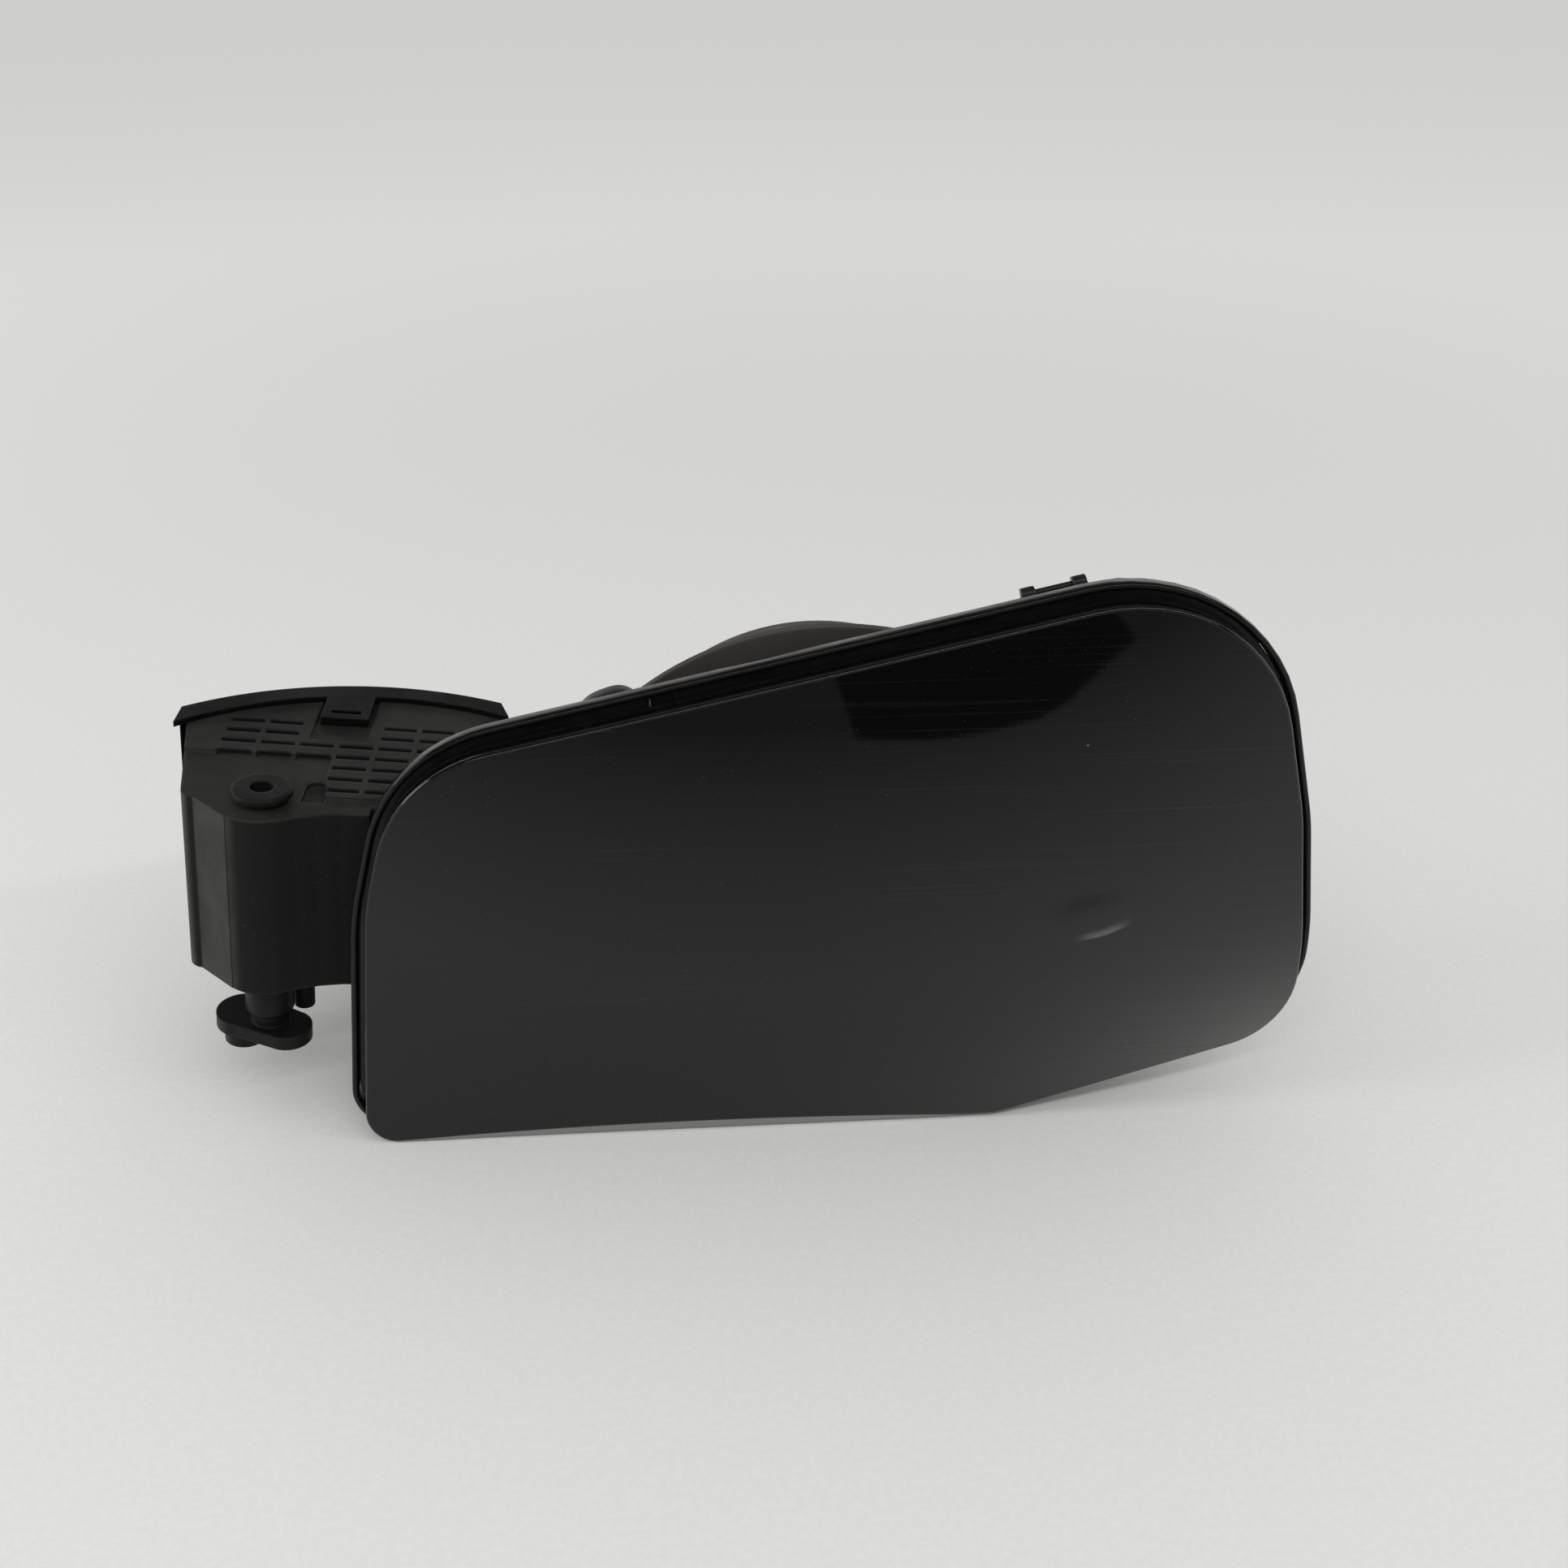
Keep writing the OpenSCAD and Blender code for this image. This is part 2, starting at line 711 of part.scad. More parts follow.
// The two-lobed clip on the pin's lower end.
module pin_retainer() {
    top = -pocket_low - lower_boss;
    plate = [top - 6.3, top - 3];
    left = [-6.4, 2.6];
    right = [4.2, -2.4];
    color([0.06, 0.06, 0.06])
    at_hinge()
    difference() {
        union() {
            upright(plate[0], plate[1]) {
                translate(left)
                    circle(6.3);
                translate(right)
                    circle(5.5);
                polygon([left + [-2.7, -5.6], right + [-2.4, -4.9], right + [2.4, 4.9], left + [2.7, 5.6]]);
            }
            upright(plate[1] - eps, top)
                circle(4.2);
            translate([left[0], left[1], plate[0] - 4.2])
                cylinder(h = 4.2 + eps, r = 4.6);
        }
        translate([left[0], left[1], plate[0] - 5])
            cylinder(h = 4.4, r = 3.4);
        translate([0, 0, top - 5])
            cylinder(h = 6, r = pin_r + 0.02);
    }
}

// The leaf spring that holds the door open or shut against the barrel.
module hinge_spring() {
    h = 12;
    color([0.5, 0.5, 0.52])
    at_hinge()
        translate([0, 0, (arm_low + arm_top) / 2 - h / 2])
            linear_extrude(h)
                polygon([[-pocket_side + wall + 0.2, 16], [-pocket_side + wall + 0.2, 3],
                         [-barrel_r - 1.3, -1.5], [-barrel_r - 0.4, -2.4], [-barrel_r - 0.4, 3],
                         [-barrel_r - 1, 3], [-barrel_r - 1.2, -0.6], [-pocket_side + wall + 0.9, 3.4],
                         [-pocket_side + wall + 0.9, 16]]);
}

// Fasteners and stops

// A spring clip with two ears and a bar between them, standing on the tray's wall.
module body_clip() {
    clip_w = 13.5;
    ear = [2.8, 4, 3.4];
    base = [5, 1];
    bar = [2.4, 2];
    difference() {
        union() {
            translate([-clip_w / 2, 0, 0])
                cube([clip_w, base[0], base[1]]);
            for (x = [-clip_w / 2, clip_w / 2 - ear[0]])
                translate([x, 0, 0])
                    cube(ear);
            translate([-clip_w / 2 + ear[0], 1, 0])
                cube([clip_w - 2 * ear[0], bar[0], bar[1]]);
        }
        translate([-clip_w, 0, 2.2])
            rotate([40, 0, 0])
                translate([0, -6, 0])
                    cube([2 * clip_w, 6, 6]);
    }
}

// The second clip: a low dome that snaps behind the body's sheet.
module dome_clip() {
    dome_r = 14;
    dome_h = 1.4;
    dome_deep = 4;
    intersection() {
        translate([0, 0, dome_h - dome_r])
            rod(0, dome_deep, dome_r);
        translate([-dome_r, -1, 0])
            cube([2 * dome_r, dome_deep + 2, dome_h + 1]);
    }
}

module body_clips() {
    color([0.12, 0.12, 0.12])
    placed()
    translate([0, flange_back + body_sheet, door_above + tray_high / cos(top_slope)])
        rotate([0, -top_slope, 0]) {
            translate([42 / cos(top_slope), 0, 0])
                body_clip();
            translate([-50 / cos(top_slope), 0, 0])
                dome_clip();
        }
}

module bump_stops() {
    color([0.03, 0.03, 0.03])
    placed()
        for (p = stop_at)
            translate([p[0], 0, p[1]]) {
                rod(door_deep + clear, tray_floor - 2, 4, 5);
                rod(tray_floor - 2 - eps, tray_back + 1, stop_hole - 0.1);
                rod(tray_back + 1, tray_back + 3, 4, 3);
            }
}

// Lock

box_w = lock_w - 4;
ear_t = 3;
lock_screw_z = lock_low + lock_h + ear_h / 2;
lock_screw_at = [[lock_x - 4, lock_screw_z], [lock_x + 4, lock_screw_z]];

module lock_actuator() {
    back = lock_deep + 14;
    plug = [12, 6, 16];
    plug_z = lock_low + 14;
    plug_wall = 1.4;
    color([0.09, 0.09, 0.09])
    placed()
    difference() {
        union() {
            translate([lock_x - lock_w / 2, tray_back, lock_low])
                cube([box_w, back - tray_back, lock_h]);
            translate([lock_x - lock_w / 2, tray_back, lock_low + lock_h - eps])
                cube([box_w, ear_t, ear_h]);
            translate([lock_x - plug[0] / 2, back - eps, plug_z])
                cube(plug);
        }
        translate([lock_x, lock_deep, lock_low - 1])
            cylinder(h = bolt_len + 2, r = bolt_r + run_fit);
        for (p = lock_screw_at)
            translate([p[0], 0, p[1]])
                rod(tray_back - 1, tray_back + ear_t + 1, 2.2);
        translate([lock_x - plug[0] / 2 + plug_wall, back + 1, plug_z + plug_wall])
            cube([plug[0] - 2 * plug_wall, plug[1], plug[2] - 2 * plug_wall]);
    }
}

module lock_bolt() {
    color([0.75, 0.75, 0.73])
    placed()
        translate([lock_x, lock_deep, bolt_tip]) {
            cylinder(h = 1.2, r1 = bolt_r - 1, r2 = bolt_r);
            translate([0, 0, 1.2 - eps])
                cylinder(h = bolt_len - 4, r = bolt_r);
        }
}

module actuator_screws() {
    color([0.35, 0.35, 0.37])
    placed()
        for (p = lock_screw_at)
            translate([p[0], 0, p[1]]) {
                rod(tray_floor - 2, tray_back + ear_t + eps, 1.55);
                rod(tray_back + ear_t, tray_back + ear_t + 2.4, 3.6);
            }
}

module drain_nipple() {
    color([0.08, 0.08, 0.08])
    placed()
        translate([drain_at[0], neck_deep, drain_at[1]])
            rotate([-90, 0, 0])
                rotate_extrude()
                    polygon([[2, -3.4], [4.4, -3.4], [4.4, -2.4], [3.15, -2.4], [3.15, 0], [4.6, 0], [4.6, 1.6], [3.4, 1.6],
                             [3.4, 12.6], [2.9, 13.6], [2, 13.6]]);
}

door_skin();
inner_panel();
hinge_arm();
arm_screws();
striker();
cap_holder();
pot_housing();
edge_seal();
filler_bowl();
neck_collar();
hinge_pocket();
pocket_rear_cover();
hinge_pin();
upper_bush();
lower_bush();
pin_retainer();
hinge_spring();
body_clips();
bump_stops();
lock_actuator();
lock_bolt();
actuator_screws();
drain_nipple();
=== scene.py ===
import json
import math

import bpy
import numpy as np
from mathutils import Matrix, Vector


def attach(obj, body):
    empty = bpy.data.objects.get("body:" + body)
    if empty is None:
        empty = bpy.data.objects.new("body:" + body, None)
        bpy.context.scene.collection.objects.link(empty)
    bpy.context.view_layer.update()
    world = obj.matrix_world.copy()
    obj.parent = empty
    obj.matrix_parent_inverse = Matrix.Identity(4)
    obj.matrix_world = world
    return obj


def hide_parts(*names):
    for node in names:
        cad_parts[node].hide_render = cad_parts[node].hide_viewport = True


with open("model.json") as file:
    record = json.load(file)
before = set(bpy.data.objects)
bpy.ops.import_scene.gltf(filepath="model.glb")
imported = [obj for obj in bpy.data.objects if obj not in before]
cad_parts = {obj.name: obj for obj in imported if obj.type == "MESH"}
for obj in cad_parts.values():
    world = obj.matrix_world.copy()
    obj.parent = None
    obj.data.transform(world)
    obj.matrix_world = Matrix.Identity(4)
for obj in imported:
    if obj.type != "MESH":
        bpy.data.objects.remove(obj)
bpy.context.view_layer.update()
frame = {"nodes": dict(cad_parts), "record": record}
print("frame loaded:", len(frame["nodes"]), "nodes")

mm = 0.001
faceDepth = 62.0   # the door's face lies this many mm in front of the row's origin


# Camera and studio

photoCamera = {
    "place": (-36.67, -364.28, 201.38),   # mm, row frame
    "pitchDown": 28.2,
    "heading": 4.1,
    "lens": 38.42,
    "sensor": 36.0,
}


def makeCamera(settings):
    data = bpy.data.cameras.new("photoCamera")
    data.lens = settings["lens"]
    data.sensor_width = settings["sensor"]
    data.clip_start, data.clip_end = 0.01, 20
    camObject = bpy.data.objects.new("photoCamera", data)
    camObject.location = [c * mm for c in settings["place"]]
    pitch, heading = math.radians(settings["pitchDown"]), math.radians(settings["heading"])
    level = math.cos(pitch)
    ahead = Vector((math.sin(heading) * level, math.cos(heading) * level, -math.sin(pitch)))
    camObject.rotation_euler = ahead.to_track_quat("-Z", "Y").to_euler()
    bpy.context.collection.objects.link(camObject)
    bpy.context.scene.camera = camObject


makeCamera(photoCamera)
bpy.context.scene.view_settings.view_transform = "Standard"
print("camera placed")


# Small helpers for node materials

def newMaterial(name):
    material = bpy.data.materials.new(name)
    material.use_nodes = True
    nodes = material.node_tree.nodes
    nodes.clear()
    output = nodes.new("ShaderNodeOutputMaterial")
    shader = nodes.new("ShaderNodeBsdfPrincipled")
    material.node_tree.links.new(shader.outputs[0], output.inputs[0])
    return material, nodes, material.node_tree.links, shader


def addNode(nodes, kind, **values):
    node = nodes.new(kind)
    for key, value in values.items():
        if hasattr(node, key):
            setattr(node, key, value)
        else:
            node.inputs[key].default_value = value
    return node


def objectPoint(nodes, links, stretch=(1, 1, 1), turn=(0, 0, 0)):
    coords = nodes.new("ShaderNodeTexCoord")
    mapping = addNode(nodes, "ShaderNodeMapping")
    mapping.inputs["Scale"].default_value = stretch
    mapping.inputs["Rotation"].default_value = turn
    links.new(coords.outputs["Object"], mapping.inputs["Vector"])
    return mapping.outputs[0]


def noiseAt(nodes, links, point, scale, detail=4.0, rough=0.5):
    noise = addNode(nodes, "ShaderNodeTexNoise", Scale=scale, Detail=detail, Roughness=rough)
    links.new(point, noise.inputs["Vector"])
    return noise.outputs["Fac"]


def rangeOf(nodes, links, value, lowIn, highIn, lowOut, highOut, smooth=True):
    ranged = addNode(nodes, "ShaderNodeMapRange")
    ranged.interpolation_type = "SMOOTHSTEP" if smooth else "LINEAR"
    for slot, number in zip(("From Min", "From Max", "To Min", "To Max"), (lowIn, highIn, lowOut, highOut)):
        ranged.inputs[slot].default_value = number
    links.new(value, ranged.inputs["Value"])
    return ranged.outputs[0]


def combine(nodes, links, how, a, b):
    mathNode = addNode(nodes, "ShaderNodeMath", operation=how)
    for slot, value in ((0, a), (1, b)):
        if isinstance(value, (int, float)):
            mathNode.inputs[slot].default_value = value
        else:
            links.new(value, mathNode.inputs[slot])
    return mathNode.outputs[0]


def mixColours(nodes, links, factor, a, b):
    mix = nodes.new("ShaderNodeMix")
    mix.data_type = "RGBA"
    links.new(factor, mix.inputs["Factor"])
    for slot, value in ((6, a), (7, b)):
        if isinstance(value, tuple):
            mix.inputs[slot].default_value = (*value, 1)
        else:
            links.new(value, mix.inputs[slot])
    return mix.outputs[2]


def bumpFrom(nodes, links, height, distance, strength=1.0, after=None):
    bump = addNode(nodes, "ShaderNodeBump", Strength=strength, Distance=distance)
    links.new(height, bump.inputs["Height"])
    if after is not None:
        links.new(after, bump.inputs["Normal"])
    return bump.outputs[0]


# The door's lower edge, turned under along an arched crease and lighter grey below it, in mm

hem = {
    "foot": -50.4,         # height of the crease's ends
    "high": 2.2,           # how far it rises between them
    "middle": -33.0,
    "half": 66.0,
    "drop": 0.88,          # how far the edge reaches below the foot
    "dropFade": 6.4,
    "slope": 0.3,          # how far it falls back for each mm down
    # a lighter grey strip below the crease: how low it reaches and how light it is
    "stripLowest": -51.1,
    "stripLightness": 0.2,
}


# Finishes

paintLook = {
    "colour": (0.0026, 0.0026, 0.003),
    "gloss": 0.04,
    "index": 1.46,
    "wipeTurn": 0.06,                  # lean of the wipe marks, radians
    "wipeStretch": (11, 11, 1900),
    "filmCorner": (105.0, -32.0),      # where the lighter film, dust with a painted sheen over it, is thickest: X and Z, mm
    "filmLean": 0.30,                  # it follows the sloping lower edge
    "filmTall": 2.4,
    "filmFade": 40.0,
    "filmMost": 0.14,
    # a painted highlight in a crescent along the swelling's lower rim
    "crescentHighlight": {"place": (55.6, -1.5), "lean": 0.318, "half": 7.2, "wide": 2.4, "curve": 0.02, "lightening": 0.085},
    "nicks": [(88.7, 60.2, 0.35), (47.9, 45.3, 0.3)],      # X, Z, radius, mm
}


# X and Z measured from a place, in mm
def offsetFrom(nodes, links, split, place):
    return (combine(nodes, links, "SUBTRACT", split.outputs["X"], place[0]),
            combine(nodes, links, "SUBTRACT", split.outputs["Z"], place[1]))


# the same offsets along and across a line that leans by an angle: their dot products with its direction and
# normal
def leaned(nodes, links, offX, offZ, lean):
    c, d = math.cos(lean), math.sin(lean)
    along = combine(nodes, links, "ADD", combine(nodes, links, "MULTIPLY", offX, c),
                    combine(nodes, links, "MULTIPLY", offZ, d))
    across = combine(nodes, links, "SUBTRACT", combine(nodes, links, "MULTIPLY", offZ, c),
                     combine(nodes, links, "MULTIPLY", offX, d))
    return along, across


# square root of the sum of squares
def lengthOf(nodes, links, a, b):
    total = combine(nodes, links, "ADD", combine(nodes, links, "MULTIPLY", a, a),
                    combine(nodes, links, "MULTIPLY", b, b))
    return combine(nodes, links, "SQRT", total, 0.0)


# dust with a painted sheen over it, thickest at a corner, which falls off by e for each fade length, faster
# across its lean than along
def dustAndSheenFilm(nodes, links, split, look):
    offX, offZ = offsetFrom(nodes, links, split, look["filmCorner"])
    along, across = leaned(nodes, links, offX, offZ, look["filmLean"])
    far = lengthOf(nodes, links, along, combine(nodes, links, "MULTIPLY", across, look["filmTall"]))
    fall = combine(nodes, links, "POWER", math.e, combine(nodes, links, "DIVIDE", far, -look["filmFade"]))
    return combine(nodes, links, "MULTIPLY", fall, look["filmMost"])


def nickMark(nodes, links, split, x, z, radius):
    offX, offZ = offsetFrom(nodes, links, split, (x, z))
    gap = lengthOf(nodes, links, offX, offZ)
    return rangeOf(nodes, links, gap, radius * 0.5, radius, 0.12, 0.0)


# a painted highlight in a crescent: a band above a parabola that leans, sharp below and soft above, fading to
# its ends
def paintedCrescentHighlight(nodes, links, split, crescentHighlight):
    offX, offZ = offsetFrom(nodes, links, split, crescentHighlight["place"])
    along, across = leaned(nodes, links, offX, offZ, crescentHighlight["lean"])
    bow = combine(nodes, links, "MULTIPLY", combine(nodes, links, "MULTIPLY", along, along), crescentHighlight["curve"])
    across = combine(nodes, links, "SUBTRACT", across, bow)
    line = combine(nodes, links, "MULTIPLY", rangeOf(nodes, links, across, -0.4, 0.1, 0.0, 1.0),
                   rangeOf(nodes, links, across, 0.1, crescentHighlight["wide"], 1.0, 0.0))
    ends = rangeOf(nodes, links, combine(nodes, links, "ABSOLUTE", along, 0.0), 1.5, crescentHighlight["half"],
                   crescentHighlight["lightening"], 0.0)
    return combine(nodes, links, "MULTIPLY", line, ends)


# the lighter grey strip lies between the crease's arch and the edge's own dark line
def hemMark(nodes, links, split):
    offX = combine(nodes, links, "SUBTRACT", split.outputs["X"], hem["middle"])
    arch = combine(nodes, links, "MULTIPLY", combine(nodes, links, "MULTIPLY", offX, offX),
                   hem["high"] / hem["half"] ** 2)
    crease = combine(nodes, links, "SUBTRACT", hem["foot"] + hem["high"], arch)
    below = rangeOf(nodes, links, combine(nodes, links, "SUBTRACT", crease, split.outputs["Z"]), 0.0, 0.35,
                    0.0, hem["stripLightness"])
    above = rangeOf(nodes, links, split.outputs["Z"], hem["stripLowest"] - 0.1, hem["stripLowest"] + 0.1, 0.0, 1.0)
    return combine(nodes, links, "MULTIPLY", below, above)


# clear black gloss under a lighter film that thickens to the lower right, dust with a painted sheen over it,
# with wipe lines, specks and marks, a painted crescent highlight and a lighter grey strip along the hem
def paintMaterial(look):
    material, nodes, links, shader = newMaterial("glossPaint")
    wipePoint = objectPoint(nodes, links, look["wipeStretch"], (0, look["wipeTurn"], 0))
    wipes = noiseAt(nodes, links, wipePoint, 1.0, 3.0, 0.6)
    point = objectPoint(nodes, links)
    patch = rangeOf(nodes, links, noiseAt(nodes, links, point, 16.0, 3.0), 0.38, 0.7, 0.1, 1.0)
    wipeMask = combine(nodes, links, "MULTIPLY", rangeOf(nodes, links, wipes, 0.55, 0.75, 0.0, 1.0), patch)
    speck = rangeOf(nodes, links, noiseAt(nodes, links, point, 2400, 1.0), 0.74, 0.8, 0.0, 0.035)
    split = nodes.new("ShaderNodeSeparateXYZ")
    links.new(objectPoint(nodes, links, (1000, 1000, 1000)), split.inputs[0])
    # lighter towards the lower right: dust with a painted sheen that stands in for a reflection
    lightening = combine(nodes, links, "MULTIPLY", dustAndSheenFilm(nodes, links, split, look),
                   rangeOf(nodes, links, wipes, 0.3, 0.7, 0.94, 1.06))
    marks = [combine(nodes, links, "MULTIPLY", wipeMask, 0.009), speck]
    marks += [nickMark(nodes, links, split, *nick) for nick in look["nicks"]]
    marks += [paintedCrescentHighlight(nodes, links, split, look["crescentHighlight"]), hemMark(nodes, links, split)]
    for mark in marks:
        lightening = combine(nodes, links, "ADD", lightening, mark)
    links.new(mixColours(nodes, links, lightening, look["colour"], (1.0, 0.99, 0.97)), shader.inputs["Base Color"])
    links.new(rangeOf(nodes, links, wipeMask, 0, 1, look["gloss"], 0.12), shader.inputs["Roughness"])
    links.new(bumpFrom(nodes, links, wipes, 0.00001, 0.15), shader.inputs["Normal"])
    shader.inputs["IOR"].default_value = look["index"]
    return material


# moulded plastic or rubber: a fine grain, soft edges that shine a little, dust on what faces up, and on what
# faces left dust with a painted sheen
def plasticMaterial(name, look):
    material, nodes, links, shader = newMaterial(name)
    point = objectPoint(nodes, links)
    grain = noiseAt(nodes, links, point, look.get("grainScale", 2600), 2.0)
    cloud = noiseAt(nodes, links, point, look.get("cloudScale", 90), 5.0, 0.62)
    geometry = nodes.new("ShaderNodeNewGeometry")
    soft = addNode(nodes, "ShaderNodeBevel", samples=6, Radius=look.get("edgeRound", 0.0007))
    split = nodes.new("ShaderNodeSeparateXYZ")
    links.new(geometry.outputs["Normal"], split.inputs[0])
    above = rangeOf(nodes, links, split.outputs["Z"], 0.3, 0.95,
                    look.get("sideDust", 0.08), look.get("topDust", 0.45))
    # what faces left is made lighter: partly dust and partly painted sheen, as if lit from the left
    leftward = rangeOf(nodes, links, split.outputs["X"], -0.3, -0.85, 0.0, look.get("leftDustAndSheen", 1.0))
    dustAndSheenMask = combine(nodes, links, "MULTIPLY", combine(nodes, links, "MAXIMUM", above, leftward),
                    rangeOf(nodes, links, cloud, 0.32, 0.68, 0.35, 1.0))
    dustAndSheenMask = combine(nodes, links, "MULTIPLY", dustAndSheenMask, look.get("dustAndSheenAmount", 0.5))
    colour = mixColours(nodes, links, dustAndSheenMask, look["colour"], look.get("dustAndSheenColour", (0.075, 0.074, 0.068)))
    facing = addNode(nodes, "ShaderNodeVectorMath", operation="DOT_PRODUCT")
    links.new(soft.outputs[0], facing.inputs[0])
    links.new(geometry.outputs["Normal"], facing.inputs[1])
    edge = rangeOf(nodes, links, facing.outputs["Value"], 0.985, 0.8, 0.0, look.get("edgeWear", 0.2))
    edge = combine(nodes, links, "MULTIPLY", edge, rangeOf(nodes, links, cloud, 0.35, 0.6, 0.3, 1.0))
    colour = mixColours(nodes, links, edge, colour, look.get("wornColour", (0.09, 0.09, 0.088)))
    fleck = rangeOf(nodes, links, noiseAt(nodes, links, point, 2000, 1.0), 0.74, 0.79,
                    0.0, look.get("flecks", 0.2))
    colour = mixColours(nodes, links, fleck, colour, (0.22, 0.21, 0.2))
    for place, reach in look.get("scratches", []):
        gap = addNode(nodes, "ShaderNodeVectorMath", operation="DISTANCE")
        links.new(point, gap.inputs[0])
        gap.inputs[1].default_value = [c * mm for c in place]
        near = rangeOf(nodes, links, gap.outputs["Value"], reach * mm * 0.5, reach * mm, 1.0, 0.0)
        strokes = noiseAt(nodes, links, objectPoint(nodes, links, (1500, 1500, 90), (0.3, 0.5, 0)), 1.0, 1.0)
        line = rangeOf(nodes, links, strokes, 0.66, 0.72, 0.0, 0.35)
        scratched = combine(nodes, links, "MULTIPLY", near, line)
        colour = mixColours(nodes, links, scratched, colour, (0.35, 0.35, 0.34))
    links.new(colour, shader.inputs["Base Color"])
    shader.inputs["Specular IOR Level"].default_value = look.get("specular", 0.15)
    rough = look.get("rough", 0.6)
    links.new(rangeOf(nodes, links, cloud, 0.3, 0.7, rough - 0.08, rough + 0.14), shader.inputs["Roughness"])
    coarse = bumpFrom(nodes, links, cloud, 0.0004, 0.12, soft.outputs[0])
    fine = bumpFrom(nodes, links, grain, look.get("grainDepth", 0.00005), 0.35, coarse)
    links.new(fine, shader.inputs["Normal"])
    return material


def steelMaterial(name, colour, rough, stretch):
    material, nodes, links, shader = newMaterial(name)
    lines = noiseAt(nodes, links, objectPoint(nodes, links, stretch), 1.0, 3.0)
    cloud = noiseAt(nodes, links, objectPoint(nodes, links), 160, 4.0)
    stain = rangeOf(nodes, links, cloud, 0.45, 0.75, 0.0, 0.7)
    dark = tuple(c * 0.45 for c in colour)
    links.new(mixColours(nodes, links, stain, colour, dark), shader.inputs["Base Color"])
    links.new(rangeOf(nodes, links, lines, 0.3, 0.7, rough - 0.1, rough + 0.12), shader.inputs["Roughness"])
    links.new(bumpFrom(nodes, links, lines, 0.00003, 0.3), shader.inputs["Normal"])
    shader.inputs["Metallic"].default_value = 1.0
    return material


plasticLooks = {
    "panel_plastic": {"colour": (0.010, 0.010, 0.010), "rough": 0.5, "dustAndSheenAmount": 0.2},
    "housing_plastic": {"colour": (0.0055, 0.0055, 0.0055), "rough": 0.34, "dustAndSheenAmount": 0.35, "specular": 0.32,
                        "edgeRound": 0.0005,
                        "scratches": [((-36.3, -54, 56.1), 2.4), ((-42, -54, 54.1), 1.6),
                                      ((-47.9, -54, 53), 1.4)]},
    "pocket_plastic": {"colour": (0.0058, 0.0058, 0.006), "rough": 0.52, "dustAndSheenAmount": 1.0, "sideDust": 0.045,
                       "topDust": 0.33, "leftDustAndSheen": 1.0, "specular": 0.11, "edgeRound": 0.0012,
                       "edgeWear": 0.3, "cloudScale": 60, "dustAndSheenColour": (0.072, 0.074, 0.066)},
    "bowl_plastic": {"colour": (0.052, 0.048, 0.044), "rough": 0.6, "dustAndSheenAmount": 0.6,
                     "scratches": [((3, -30, 58.5), 3.0), ((8, -30, 58.2), 3.0)]},
    "seal_rubber": {"colour": (0.003, 0.003, 0.003), "rough": 0.14, "dustAndSheenAmount": 0.04, "grainDepth": 0.000008,
                    "specular": 0.25, "edgeRound": 0.0002, "edgeWear": 0.0},
    "collar_rubber": {"colour": (0.008, 0.008, 0.008), "rough": 0.62, "dustAndSheenAmount": 0.4},
    "bush_plastic": {"colour": (0.0055, 0.0055, 0.0055), "rough": 0.4, "dustAndSheenAmount": 0.3, "sideDust": 0.14,
                     "topDust": 0.14, "specular": 0.14},
    "bolt_plastic": {"colour": (0.62, 0.61, 0.57), "rough": 0.3, "dustAndSheenAmount": 0.25, "specular": 0.5,
                     "dustAndSheenColour": (0.35, 0.33, 0.28), "wornColour": (0.7, 0.7, 0.68)},
}

coverLook = {"colour": (0.0030, 0.0030, 0.0032), "rough": 0.5, "dustAndSheenAmount": 0.3, "sideDust": 0.05, "topDust": 0.2,
             "specular": 0.09, "edgeRound": 0.0006}

materials = {slot: plasticMaterial(slot + "Look", look) for slot, look in plasticLooks.items()}
materials["paint"] = paintMaterial(paintLook)
materials["pin_steel"] = steelMaterial("pinSteel", (0.42, 0.42, 0.43), 0.32, (600, 600, 60))
materials["spring_steel"] = steelMaterial("springSteel", (0.30, 0.30, 0.33), 0.36, (90, 90, 900))
materials["screw_steel"] = steelMaterial("screwSteel", (0.45, 0.44, 0.42), 0.4, (500, 500, 500))
for part in frame["record"]["subparts"]:
    node = frame["nodes"][part["node"]]
    for i in range(len(node.material_slots)):
        node.material_slots[i].material = materials[part["material_slot"]]
coverMaterial = plasticMaterial("rearCoverLook", coverLook)
for i in range(len(frame["nodes"]["pocket_rear_cover"].material_slots)):
    frame["nodes"]["pocket_rear_cover"].material_slots[i].material = coverMaterial
print("finishes made:", len(materials) + 1)


# The door's outline, as corners and radii in mm, in the plane of X and Z

doorOutline = {
    "corners": [(-110.4, -50.4), (34.3, -50.4), (101.9, -29.474), (101.203, -5.985), (96.54, 25.977),
                (82.118, 82.556), (-94.635, 43.046), (-103.607, 11.126)],
    "radii": [6.5, 15, 19, 80, 80, 37, 33, 80],
    "arcSteps": 14,
    "sideSteps": 24,
}


# each corner goes to where its two edges cross once they have moved outwards: the two below by low, the upper
# ones by high and the rest by out
def movedCorners(corners, out, low, high):
    corner = np.array(corners, float)
    ahead = np.roll(corner, -1, 0) - corner
    ahead /= np.linalg.norm(ahead, axis=1)[:, None]
    behind = np.roll(ahead, 1, 0)
    shift = np.array([low, low, out, out, (out + high) / 2, high, high, out], float)
    shiftBehind = np.roll(shift, 1)
    turn = behind[:, 0] * ahead[:, 1] - behind[:, 1] * ahead[:, 0]
    return corner + (shift[:, None] * behind - shiftBehind[:, None] * ahead) / turn[:, None]


